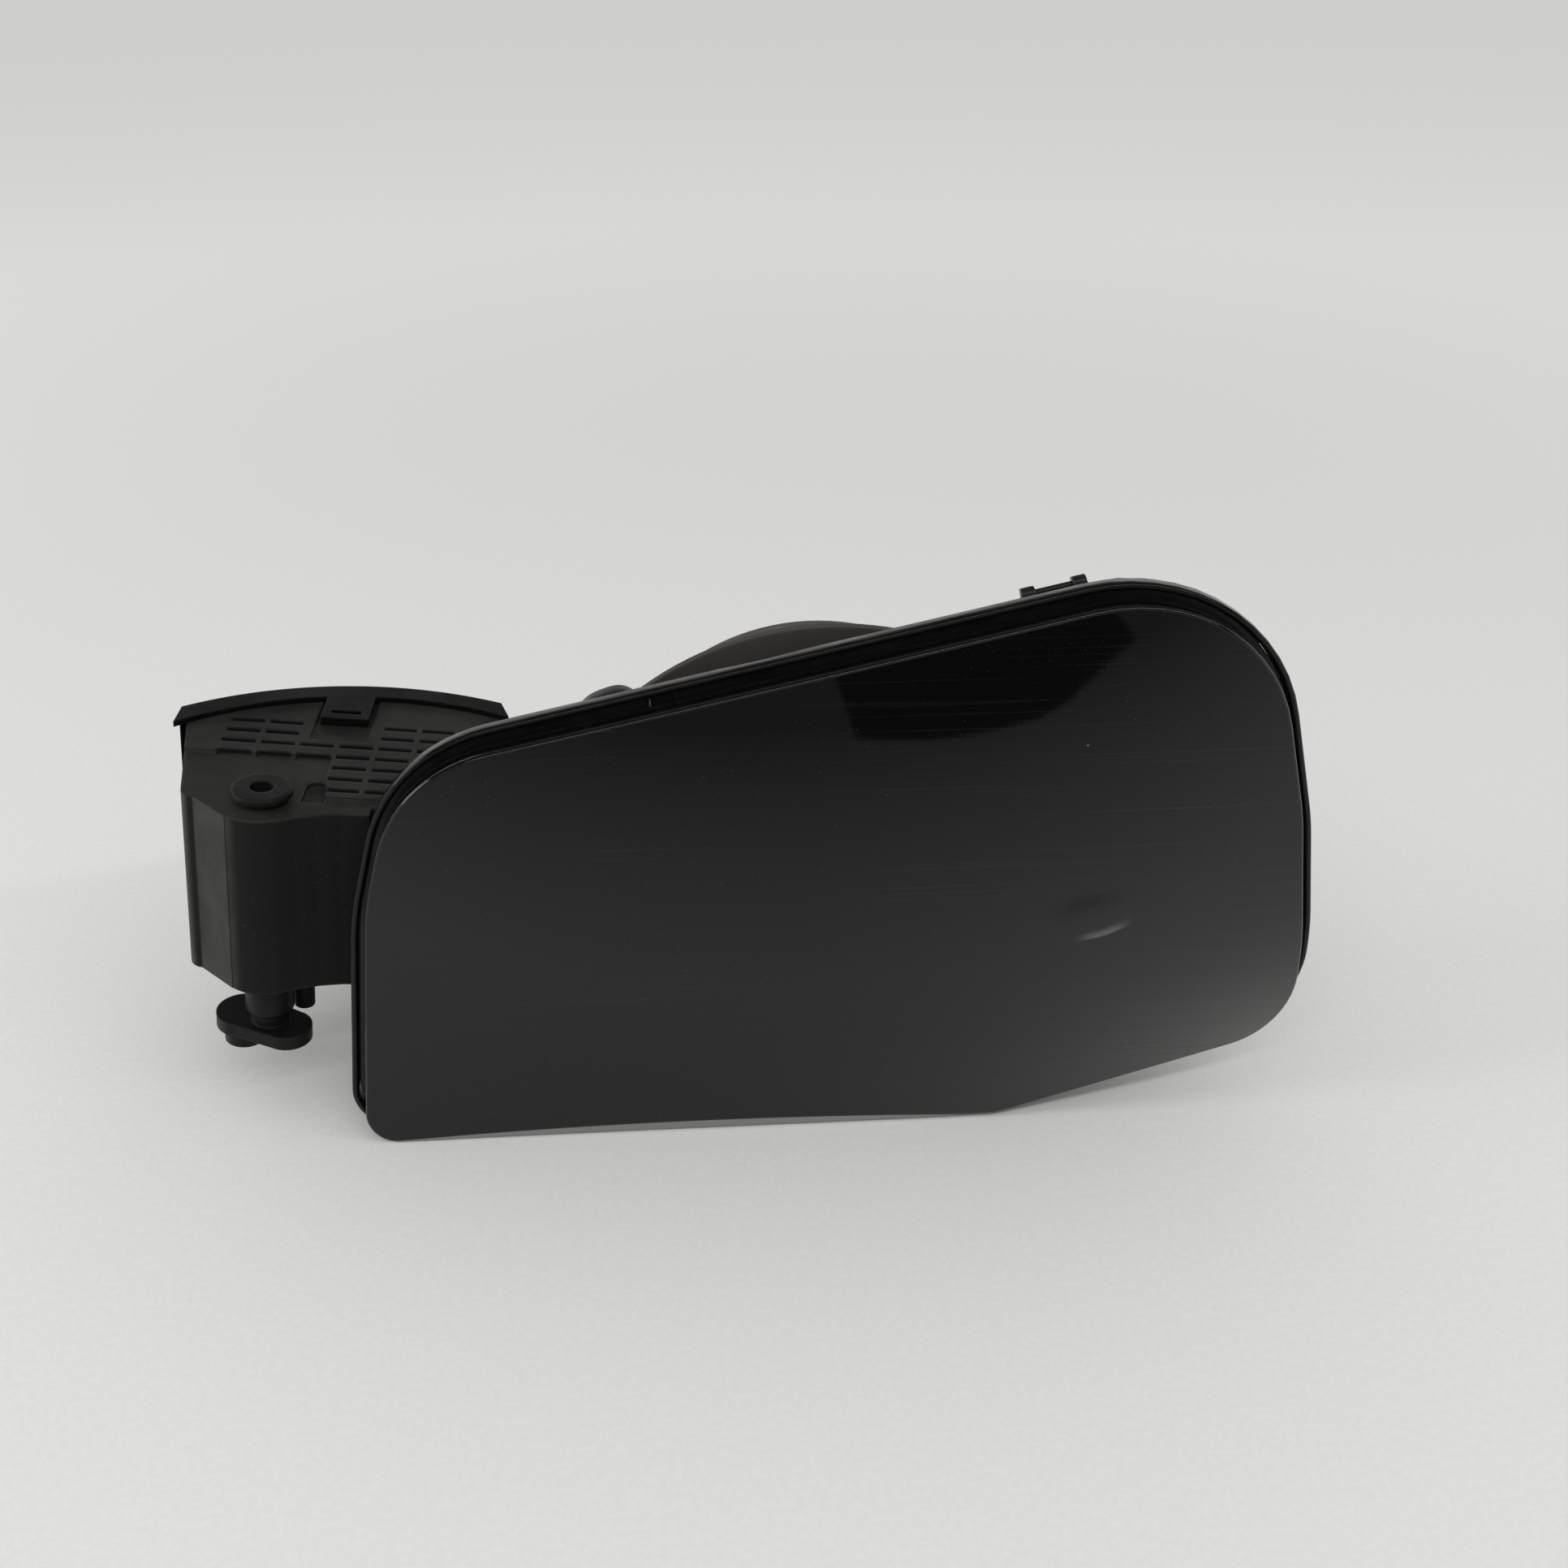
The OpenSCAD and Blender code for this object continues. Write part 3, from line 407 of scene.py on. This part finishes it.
# the outline as one closed loop: an arc at each corner, tangent to both edges, then even points to the next
def outlineLoop(out=0.0, low=None, high=None):
    low = out if low is None else low
    high = out if high is None else high
    corner = movedCorners(doorOutline["corners"], out, low, high)
    ahead = np.roll(corner, -1, 0) - corner
    ahead /= np.linalg.norm(ahead, axis=1)[:, None]
    behind = np.roll(ahead, 1, 0)
    radius = np.array(doorOutline["radii"], float) + out
    turn = np.arccos(np.clip((behind * ahead).sum(1), -1, 1))
    normal = np.stack([-behind[:, 1], behind[:, 0]], 1)
    centre = corner - (radius * np.tan(turn / 2))[:, None] * behind + radius[:, None] * normal
    start = np.arctan2(-behind[:, 0], behind[:, 1])
    angle = start[:, None] + turn[:, None] * np.linspace(0, 1, doorOutline["arcSteps"])[None, :]
    arcs = centre[:, None, :] + radius[:, None, None] * np.stack([np.cos(angle), np.sin(angle)], 2)
    share = np.linspace(0, 1, doorOutline["sideSteps"] + 2)[1:-1, None]
    sides = arcs[:, -1][:, None, :] * (1 - share) + np.roll(arcs[:, 0], -1, 0)[:, None, :] * share
    return np.concatenate([arcs, sides], 1).reshape(-1, 2)


def makePiece(name, points, faces, material, body, smooth=40):
    mesh = bpy.data.meshes.new(name)
    mesh.from_pydata((points * mm).tolist(), [], faces)
    mesh.validate()
    mesh.materials.append(material)
    mesh.shade_smooth()
    mesh.set_sharp_from_angle(angle=math.radians(smooth))
    piece = bpy.data.objects.new(name, mesh)
    bpy.context.collection.objects.link(piece)
    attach(piece, body)
    return piece


# quads between neighbouring rings of a grid whose rings are closed, wound so that they face outwards
def loftFaces(rows, cols, closeRows=False):
    r = np.arange(rows if closeRows else rows - 1)[:, None]
    c = np.arange(cols)[None, :]
    below, above = (r % rows) * cols, ((r + 1) % rows) * cols
    nextCol = (c + 1) % cols
    return np.stack([below + c, below + nextCol, above + nextCol, above + c], 2).reshape(-1, 4).tolist()


# Door skin

skin = {
    "deep": 5.5,
    "wall": 2.0,
    "edgeRound": 0.75,
    "lipRound": 0.35,
    "crownSide": 0.9,      # how far the face falls back at its sides, mm
    "crownTop": 0.5,
    "middle": (-2.0, 8.0),
    "markPlace": (52.2, 3.4),
    "markSize": (7.5, 4.5),
    "markHigh": 0.4,
    "markLean": 0.16,
    "rings": 90,
}


# how far the face lies behind its foremost plane: a shallow crown, squared distance from the middle, less a
# low swelling pressed out from inside
def faceFall(x, z):
    mx, mz = skin["middle"]
    crown = skin["crownSide"] * ((x - mx) / 108) ** 2 + skin["crownTop"] * ((z - mz) / 66) ** 2
    px, pz = skin["markPlace"]
    sx, sz = skin["markSize"]
    along, across = x - px, z - pz - skin["markLean"] * (x - px)
    return crown - skin["markHigh"] * np.exp(-((along / sx) ** 2 + (across / sz) ** 2) ** 1.5)


# 1 in the middle of the hem and 0 at its ends: one less the squared share of its half length
def hemArch(x):
    return np.clip(1 - ((x - hem["middle"]) / hem["half"]) ** 2, 0, None)


# the outline with its straight lower edge dropped: in full at the left, and along the hem's arch to the right
def skinLoop(out):
    flat = outlineLoop(out)
    low = np.clip((hem["foot"] + hem["dropFade"] - flat[:, 1]) / hem["dropFade"], 0, 1)
    flat[:, 1] -= hem["drop"] * low * hemArch(np.maximum(flat[:, 0], hem["middle"]))
    return flat


# rings of the outline: shrunk towards the middle on the face down to the crease, over the hem, round the edge
# and back along the inner wall
def makeDoorSkin():
    edgeRound = skin["edgeRound"]
    middle = np.array(skin["middle"])
    inEdge, outEdge = skinLoop(-edgeRound), skinLoop(0.0)
    low = inEdge[:, 1] < hem["foot"] + 4
    lean = np.where(low, np.arctan(hem["slope"] * np.minimum(hemArch(inEdge[:, 0]) * 4, 1)), 0.0)
    frontEdge = inEdge + (outEdge - inEdge) * np.sin(lean)[:, None]
    crease = skinLoop(-edgeRound - 0.25)
    creaseLine = hem["foot"] + hem["high"] * hemArch(crease[:, 0])
    crease[low, 1] = np.maximum(crease[low, 1], creaseLine[low])
    rings = []
    for share in np.linspace(0.01, 1, skin["rings"]) ** 0.8:
        flat = middle + (crease - middle) * share
        rings.append((flat, faceFall(flat[:, 0], flat[:, 1])))
    for share in np.linspace(0, 1, 6)[1:]:
        flat = crease + (frontEdge - crease) * share
        under = (crease[:, 1] - frontEdge[:, 1]) * share * np.tan(lean)
        rings.append((flat, faceFall(flat[:, 0], flat[:, 1]) + under))
    edgeFall = rings[-1][1]
    for share in np.linspace(0, 1, 9)[1:]:
        turn = lean + (math.pi / 2 - lean) * share
        flat = inEdge + (outEdge - inEdge) * np.sin(turn)[:, None]
        rings.append((flat, edgeFall + edgeRound * (np.cos(lean) - np.cos(turn))))
    deep, wall, lip = skin["deep"], skin["wall"], skin["lipRound"]
    back = [(0.0, deep - lip), (-lip * 0.3, deep - lip * 0.3), (-lip, deep), (-wall + lip, deep),
            (-wall, deep - lip), (-wall, wall)]
    for out, depth in back:
        flat = skinLoop(out)
        rings.append((flat, np.full(len(flat), depth)))
    inner = skinLoop(-wall)
    for share in np.linspace(1, 0.02, 8)[1:]:
        flat = middle + (inner - middle) * share
        rings.append((flat, np.full(len(flat), wall)))
    cols = len(frontEdge)
    points = np.concatenate([np.stack([f[:, 0], y - faceDepth, f[:, 1]], 1) for f, y in rings])
    poles = np.array([[middle[0], faceFall(*middle) - faceDepth, middle[1]],
                      [middle[0], wall - faceDepth, middle[1]]])
    front, rear = len(points), len(points) + 1
    faces = [f[::-1] for f in loftFaces(len(rings), cols)]
    last = (len(rings) - 1) * cols
    faces += [[front, c, (c + 1) % cols] for c in range(cols)]
    faces += [[rear, last + (c + 1) % cols, last + c] for c in range(cols)]
    points = np.concatenate([points, poles])
    piece = makePiece("doorSkin", points, faces, materials["paint"], "door", 60)
    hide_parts("door_skin")


makeDoorSkin()
print("door skin made")


# Edge seal

seal = {
    "flangeOut": (2.2, -0.6, 1.2),     # where the flange ends: at the sides, below and above
    "sealOut": (3.8, 1.0, 2.8),
    "front": 6.5,
    "back": 10.0,
    "lipRound": 0.7,
}


# a closed profile of a rounded lip, carried round the outline; across it the offsets run from flange to rim
def makeEdgeSeal():
    flangeOut, rimOut = np.array(seal["flangeOut"]), np.array(seal["sealOut"])
    r = seal["lipRound"]
    width = rimOut[0] - flangeOut[0]
    profile = [(0.0, seal["back"]), (0.0, seal["front"] + r)]
    for turn in np.linspace(0, math.pi, 11)[1:-1]:
        profile.append(((width / 2) * (1 - math.cos(turn)), seal["front"] + r * (1 - math.sin(turn))))
    profile += [(width, seal["front"] + r), (width, seal["back"] - 0.5), (width - 0.2, seal["back"] - 0.1),
                (width - 0.5, seal["back"])]
    rings = []
    for across, depth in profile:
        share = across / width
        out = flangeOut + (rimOut - flangeOut) * share
        flat = outlineLoop(*out)
        rings.append(np.stack([flat[:, 0], np.full(len(flat), depth - faceDepth), flat[:, 1]], 1))
    points = np.concatenate(rings)
    faces = [f[::-1] for f in loftFaces(len(rings), len(rings[0]), True)]
    piece = makePiece("edgeSeal", points, faces, materials["seal_rubber"], "housing", 50)
    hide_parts("edge_seal")


makeEdgeSeal()
print("edge seal made")


# Round knobs and bar of the sprung clip, and the dome of the second one, behind the flange's top edge

clips = {
    "slope": 12.6,          # lean of the top edge, degrees
    "lineHeight": 62.66,    # height of the clips' foot line at X = 0, mm
    "front": -49.8,
    "clipPlace": 42.0,
    "clipHalf": 6.75,
    "knobRound": 1.6,
    "knobLong": 3.0,
    "knobHigh": 2.6,
    "barRound": 0.75,
    "domePlace": -50.8,
    "domeHalf": 6.6,
    "domeHigh": 3.3,
    "domeTilt": 0.22,      # its left half is lower and its right half higher by this share
    "domeDeep": 4.6,
}


# a point given along the top edge, back from the clips' front and up from their foot line, as X, Y, Z
def clipPoint(along, back, up):
    lean = math.radians(clips["slope"])
    x = along * math.cos(lean) - up * math.sin(lean)
    z = clips["lineHeight"] + along * math.sin(lean) + up * math.cos(lean)
    return np.stack([x, clips["front"] + back + 0 * x, z], -1)


# a closed bar along the top edge: rings of one section, its ends drawn in by a small round
def makeClipBar(name, start, end, back, up, section, endRound):
    steps = np.array([0.0, 0.15, 0.5, 1.0])
    inset = endRound * (1 - np.sqrt(1 - (1 - steps) ** 2))
    place = np.concatenate([start + endRound * steps, (end - endRound * steps)[::-1]])
    shrink = np.concatenate([inset, inset[::-1]])
    reach = np.linalg.norm(section, axis=1).max()
    rings = [clipPoint(p, back + section[:, 0] * (1 - s / reach), up + section[:, 1] * (1 - s / reach))
             for p, s in zip(place, shrink)]
    count = len(section)
    faces = loftFaces(len(rings), count)
    last = (len(rings) - 1) * count
    faces += [list(range(count))[::-1], [last + i for i in range(count)]]
    makePiece(name, np.concatenate(rings), faces, materials["housing_plastic"], "housing")


def makeClipDetails():
    turn = np.linspace(0, 2 * math.pi, 25)[:-1]
    circle = np.stack([np.cos(turn), np.sin(turn)], 1)
    middle = clips["clipPlace"] / math.cos(math.radians(clips["slope"]))
    outer = clips["clipHalf"] + 0.1
    for name, low, high in (("clipKnobLeft", middle - outer, middle - outer + clips["knobLong"]),
                            ("clipKnobRight", middle + outer - clips["knobLong"], middle + outer)):
        makeClipBar(name, low, high, 2.0, clips["knobHigh"], circle * clips["knobRound"], 0.4)
    inner = outer - clips["knobLong"] + 0.3
    makeClipBar("clipBar", middle - inner, middle + inner, 2.0, clips["knobHigh"],
                circle * clips["barRound"], 0.2)
    middle = clips["domePlace"] / math.cos(math.radians(clips["slope"]))
    across = np.linspace(-1, 1, 25)
    tilt = 1 + clips["domeTilt"] * (across - 0.5)
    up = clips["domeHigh"] * (1 - np.abs(across) ** 3) * tilt
    rings = []
    for back, inset in ((0.0, 0.5), (0.15, 0.15), (0.5, 0.0), (clips["domeDeep"] - 0.5, 0.0),
                        (clips["domeDeep"] - 0.15, 0.15), (clips["domeDeep"], 0.5)):
        half = clips["domeHalf"] - inset
        top = clipPoint(middle + across * half, back, np.maximum(up - inset, 0) + 0.05)
        foot = clipPoint(middle + across[::-1] * half, back, np.full(len(across), -0.4))
        rings.append(np.concatenate([top, foot]))
    count = len(rings[0])
    faces = loftFaces(len(rings), count)
    last = (len(rings) - 1) * count
    faces += [list(range(count))[::-1], [last + i for i in range(count)]]
    makePiece("clipDome", np.concatenate(rings), faces, materials["housing_plastic"],
              "housing")


makeClipDetails()
print("clip details made")


# Floor, sky and lamps

studio = {
    "floorHeight": -51.45,
    "floorColour": (0.79, 0.79, 0.78),
    "floorFar": (0.95, 0.945, 0.93),       # its colour a metre away and beyond
    "skyLevel": 0.66,
    "backdrop": (0.80, 0.80, 0.79),
    "topLamp": {"place": (0.25, -0.8, 0.95), "size": (2.4, 0.08), "power": 6.5},
    "leftLamp": {"place": (-1.2, -0.15, 0.5), "size": (0.5, 0.4), "power": 3.4},
}


def makeFloor(settings):
    mesh = bpy.data.meshes.new("floor")
    half = 6.0
    z = settings["floorHeight"] * mm
    corners = [(-half, -half, z), (half, -half, z), (half, half, z), (-half, half, z)]
    mesh.from_pydata(corners, [], [(0, 1, 2, 3)])
    material, nodes, links, shader = newMaterial("paleFloor")
    point = objectPoint(nodes, links)
    grain = rangeOf(nodes, links, noiseAt(nodes, links, point, 700, 3.0), 0.35, 0.65, 0.0, 1.0)
    distance = addNode(nodes, "ShaderNodeVectorMath", operation="LENGTH")
    links.new(point, distance.inputs[0])
    colour = mixColours(nodes, links, rangeOf(nodes, links, distance.outputs["Value"], 0.35, 1.2, 0.0, 1.0),
                        settings["floorColour"], settings["floorFar"])
    links.new(mixColours(nodes, links, combine(nodes, links, "MULTIPLY", grain, 0.03), colour, (0, 0, 0)),
              shader.inputs["Base Color"])
    shader.inputs["Roughness"].default_value = 0.6
    shader.inputs["Specular IOR Level"].default_value = 0.0
    links.new(bumpFrom(nodes, links, grain, 0.0001, 0.1), shader.inputs["Normal"])
    mesh.materials.append(material)
    floor = bpy.data.objects.new("floor", mesh)
    bpy.context.collection.objects.link(floor)


# a grey card in front that only gloss sees, a painted reflection of darker surroundings: it darkens away from
# a bent line in front of the part, with one dark patch of painted shade

mirrorCard = {
    "height": -51.2,
    "reach": 900.0,
    "nearEdge": -50.0,
    "darkStart": 115.0,       # mm in front of the row's origin where it starts to darken
    "darkLength": 165.0,
    "darkest": 0.8,
    "darkBend": 0.003,
    "darkMiddle": -10.0,
    "patch": [(24, -267), (50, -263), (74, -269), (92, -278), (107, -293), (126, -321), (150, -354),
              (150, -420), (20, -420)],
}


def glossOnly(stageObject):
    stageObject.visible_camera = False
    stageObject.visible_diffuse = False
    stageObject.visible_shadow = False
    stageObject.visible_transmission = False
    stageObject.visible_volume_scatter = False


def makeMirrorCard(settings):
    reach, z = settings["reach"] * mm, settings["height"] * mm
    mesh = bpy.data.meshes.new("mirrorCard")
    nearEdge = settings["nearEdge"] * mm
    corners = [(-reach, -reach, z), (reach, -reach, z), (reach, nearEdge, z), (-reach, nearEdge, z)]
    mesh.from_pydata(corners, [], [(0, 1, 2, 3)])
    material = bpy.data.materials.new("mirrorCard")
    material.use_nodes = True
    nodes, links = material.node_tree.nodes, material.node_tree.links
    nodes.clear()
    split = nodes.new("ShaderNodeSeparateXYZ")
    links.new(objectPoint(nodes, links, (1000, 1000, 1000)), split.inputs[0])
    off = combine(nodes, links, "SUBTRACT", split.outputs["X"], settings["darkMiddle"])
    bend = combine(nodes, links, "MULTIPLY", combine(nodes, links, "MULTIPLY", off, off),
                   settings["darkBend"])
    forward = combine(nodes, links, "MULTIPLY", split.outputs["Y"], -1.0)
    away = combine(nodes, links, "SUBTRACT", forward, bend)
    dark = rangeOf(nodes, links, away, settings["darkStart"], settings["darkStart"] + settings["darkLength"],
                   1.0, 1.0 - settings["darkest"], False)
    clearPart, output = nodes.new("ShaderNodeBsdfTransparent"), nodes.new("ShaderNodeOutputMaterial")
    links.new(dark, clearPart.inputs["Color"])
    links.new(clearPart.outputs[0], output.inputs[0])
    mesh.materials.append(material)
    card = bpy.data.objects.new("mirrorCard", mesh)
    bpy.context.collection.objects.link(card)
    glossOnly(card)
    # a dark sheet that only gloss sees: painted shade in the door's reflection
    mesh = bpy.data.meshes.new("mirrorPatch")
    mesh.from_pydata([(cx * mm, cy * mm, z + mm) for cx, cy in settings["patch"]], [],
                     [tuple(range(len(settings["patch"])))])
    material, nodes, links, shader = newMaterial("mirrorPatch")
    shader.inputs["Base Color"].default_value = (0.01, 0.01, 0.011, 1)
    shader.inputs["Specular IOR Level"].default_value = 0.0
    mesh.materials.append(material)
    patch = bpy.data.objects.new("mirrorPatch", mesh)
    bpy.context.collection.objects.link(patch)
    glossOnly(patch)


# a grey canopy over the part that only gloss sees, so that round edges mirror the lamps as thin lines

canopy = {
    "radius": 1.7,         # m, about the row's X axis
    "half": 3.0,
    "front": 10.0,         # degrees above the floor where it starts in front and ends behind
    "behind": 26.0,
    "clear": 0.16,
}


def makeCanopy(settings):
    turn = np.radians(np.linspace(settings["front"], 180 - settings["behind"], 25))
    arc = np.stack([-np.cos(turn), np.sin(turn)], 1) * settings["radius"]
    points = np.concatenate([np.column_stack([np.full(len(arc), side), arc])
                             for side in (-settings["half"], settings["half"])])
    n = len(arc)
    faces = [(i, i + 1, n + i + 1, n + i) for i in range(n - 1)]
    mesh = bpy.data.meshes.new("canopy")
    mesh.from_pydata(points.tolist(), [], faces)
    material = bpy.data.materials.new("canopy")
    material.use_nodes = True
    nodes, links = material.node_tree.nodes, material.node_tree.links
    nodes.clear()
    clearPart, output = nodes.new("ShaderNodeBsdfTransparent"), nodes.new("ShaderNodeOutputMaterial")
    clearPart.inputs["Color"].default_value = (*(settings["clear"],) * 3, 1)
    links.new(clearPart.outputs[0], output.inputs[0])
    mesh.materials.append(material)
    cover = bpy.data.objects.new("canopy", mesh)
    bpy.context.collection.objects.link(cover)
    glossOnly(cover)


def makeSky(settings):
    world = bpy.data.worlds.new("studioSky")
    bpy.context.scene.world = world
    world.use_nodes = True
    nodes, links = world.node_tree.nodes, world.node_tree.links
    nodes.clear()
    output = nodes.new("ShaderNodeOutputWorld")
    path = nodes.new("ShaderNodeLightPath")
    shown = addNode(nodes, "ShaderNodeBackground", Color=(*settings["backdrop"], 1), Strength=1.0)
    lighting = addNode(nodes, "ShaderNodeBackground", Color=(1, 1, 1, 1), Strength=settings["skyLevel"])
    mix = nodes.new("ShaderNodeMixShader")
    direct = combine(nodes, links, "MAXIMUM", path.outputs["Is Camera Ray"], path.outputs["Is Glossy Ray"])
    direct = combine(nodes, links, "MAXIMUM", direct, path.outputs["Is Transmission Ray"])
    links.new(direct, mix.inputs[0])
    links.new(lighting.outputs[0], mix.inputs[1])
    links.new(shown.outputs[0], mix.inputs[2])
    links.new(mix.outputs[0], output.inputs[0])


def makeLamp(name, settings, target=(0, 0, 0)):
    data = bpy.data.lights.new(name, "AREA")
    data.shape = "RECTANGLE"
    data.size, data.size_y = settings["size"]
    data.energy = settings["power"]
    lamp = bpy.data.objects.new(name, data)
    lamp.location = settings["place"]
    lamp.rotation_euler = (Vector(target) - lamp.location).to_track_quat("-Z", "Y").to_euler()
    bpy.context.collection.objects.link(lamp)


makeFloor(studio)
makeMirrorCard(mirrorCard)
makeCanopy(canopy)
makeSky(studio)
makeLamp("topLamp", studio["topLamp"])
makeLamp("leftLamp", studio["leftLamp"])
print("studio made")
